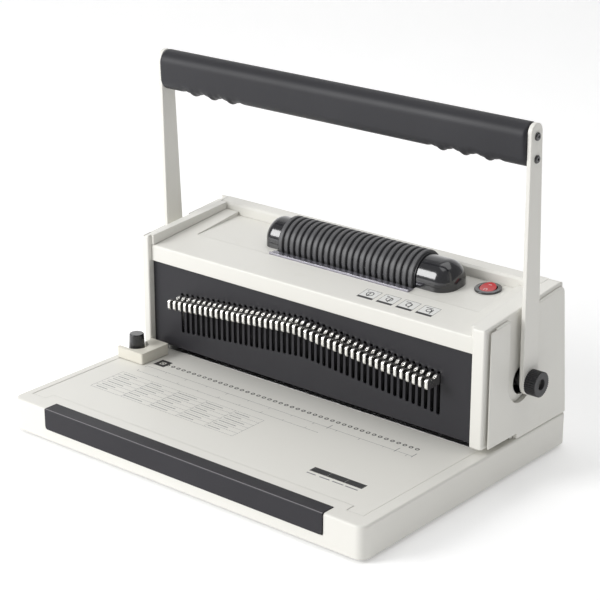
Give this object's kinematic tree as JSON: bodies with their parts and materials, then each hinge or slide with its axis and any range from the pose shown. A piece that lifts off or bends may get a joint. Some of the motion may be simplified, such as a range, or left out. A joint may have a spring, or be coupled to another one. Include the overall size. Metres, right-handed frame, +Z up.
{
  "type": "coil binding machine",
  "caption": "Desktop punch and coil binding machine with a wide paper deck, a slotted punching head with pull-out tabs, a U-shaped hand lever and a ribbed electric coil roller.",
  "frame": {"origin": "on the table under the middle of the machine's box, handle up", "axes": "+X to the user's right along the punched edge, +Y to the back, +Z up"},
  "size_m": [0.413, 0.277, 0.2961],
  "materials": {
    "painted_white": "satin",
    "white_plastic": "satin",
    "cream_plastic": "satin",
    "black_plastic": "satin",
    "gloss_black": "gloss",
    "dark_steel": "satin",
    "plated_steel": "brushed",
    "bright_nickel": "polished",
    "tool_steel": "ground",
    "bronze": "sintered",
    "rubber": "matte",
    "belt_rubber": "matte",
    "red_plastic": "gloss",
    "board": "satin",
    "motor_can": "zinc"
  },
  "bodies": {
    "housing": {"base_casing": "painted_white", "bottom_plate": "plated_steel", "rubber_feet": "rubber", "tray_plate": "painted_white", "drawer_runners": "black_plastic", "frame_plate_right": "plated_steel", "frame_plate_left": "plated_steel", "die_plate": "tool_steel", "punch_guide": "tool_steel", "guide_rods": "bright_nickel", "tie_bar": "plated_steel", "return_springs": "tool_steel", "shaft_bushes": "bronze", "front_panel": "dark_steel", "end_cap_right": "white_plastic", "end_cap_left": "white_plastic", "side_cover_right": "painted_white", "side_cover_left": "painted_white", "top_cover": "painted_white", "rear_cover": "painted_white", "drive_belt": "belt_rubber", "roller_cradle": "plated_steel", "roller_cap_left": "gloss_black", "roller_cap_right": "gloss_black", "coil_guide": "plated_steel", "drive_motor": "motor_can", "motor_bracket": "plated_steel", "rocker_bezel": "gloss_black", "power_inlet": "gloss_black", "control_board": "board", "casing_screws": "plated_steel"},
    "handle": {"handle_arm_left": "painted_white", "handle_arm_right": "painted_white", "handle_grip": "black_plastic", "grip_screws": "gloss_black", "main_shaft": "plated_steel", "pinion_left": "tool_steel", "pinion_right": "tool_steel"},
    "beam": {"punch_beam": "plated_steel", "punch_pins": "tool_steel", "key_tabs_middle": "bright_nickel", "rack_left": "tool_steel", "rack_right": "tool_steel"},
    "key_01": {"key_tab_01": "bright_nickel"},
    "key_02": {"key_tab_02": "bright_nickel"},
    "key_45": {"key_tab_45": "bright_nickel"},
    "key_46": {"key_tab_46": "bright_nickel"},
    "pivot_knob_left_body": {"pivot_knob_left": "black_plastic"},
    "pivot_knob_right_body": {"pivot_knob_right": "black_plastic"},
    "roller": {"roller_core": "black_plastic", "rubber_rings": "rubber", "roller_shaft": "plated_steel", "roller_pulley": "black_plastic"},
    "motor_rotor": {"motor_pulley": "black_plastic"},
    "rocker_body": {"rocker": "red_plastic"},
    "margin_slider": {"margin_block": "cream_plastic", "margin_nut": "plated_steel"},
    "margin_knob_body": {"margin_knob": "gloss_black"},
    "drawer": {"drawer_front": "dark_steel", "drawer_box": "black_plastic"}
  },
  "joints": [
    {"name": "handle_hinge", "type": "hinge", "parent": "housing", "child": "handle", "pos_m": [0, 0.0745, 0.08], "axis": [1, 0, 0], "range_deg": [0, 90]},
    {"name": "beam_slide", "type": "slide", "parent": "housing", "child": "beam", "axis": [0, 0, -1], "range_m": [0, 0.0198], "stiffness_N_per_m": 1500, "springref_m": -0.03, "deforming": ["return_springs"]},
    {"name": "knob_turn_left", "type": "hinge", "parent": "handle", "child": "pivot_knob_left_body", "pos_m": [0, 0.0745, 0.08], "axis": [1, 0, 0], "continuous": true},
    {"name": "knob_turn_right", "type": "hinge", "parent": "handle", "child": "pivot_knob_right_body", "pos_m": [0, 0.0745, 0.08], "axis": [1, 0, 0], "continuous": true},
    {"name": "roller_spin", "type": "hinge", "parent": "housing", "child": "roller", "pos_m": [0, 0.0915, 0.1395], "axis": [1, 0, 0], "continuous": true},
    {"name": "motor_spin", "type": "hinge", "parent": "housing", "child": "motor_rotor", "pos_m": [0.096, 0.1065, 0.092], "axis": [1, 0, 0], "continuous": true},
    {"name": "drawer_slide", "type": "slide", "parent": "housing", "child": "drawer", "axis": [0, -1, 0], "range_m": [0, 0.17]},
    {"name": "margin_slide", "type": "slide", "parent": "housing", "child": "margin_slider", "axis": [1, 0, 0], "range_m": [-0.006, 0.006]},
    {"name": "margin_knob_turn", "type": "hinge", "parent": "margin_slider", "child": "margin_knob_body", "pos_m": [-0.1716, -0.0025, 0.04], "axis": [0, 0, 1], "range_deg": [0, 180]},
    {"name": "key_01_slide", "type": "slide", "parent": "beam", "child": "key_01", "axis": [0, -1, 0], "range_m": [0, 0.008]},
    {"name": "key_02_slide", "type": "slide", "parent": "beam", "child": "key_02", "axis": [0, -1, 0], "range_m": [0, 0.008]},
    {"name": "key_45_slide", "type": "slide", "parent": "beam", "child": "key_45", "axis": [0, -1, 0], "range_m": [0, 0.008]},
    {"name": "key_46_slide", "type": "slide", "parent": "beam", "child": "key_46", "axis": [0, -1, 0], "range_m": [0, 0.008]},
    {"name": "rocker_tilt", "type": "hinge", "parent": "housing", "child": "rocker_body", "pos_m": [0.1334, 0.1025, 0.1364], "axis": [1, 0, 0], "range_deg": [-22, 0]}
  ],
  "couplings": [
    {"joint": "beam_slide", "follows": "handle_hinge", "m_per_rad": 0.0126},
    {"joint": "motor_spin", "follows": "roller_spin", "ratio": 2}
  ]
}
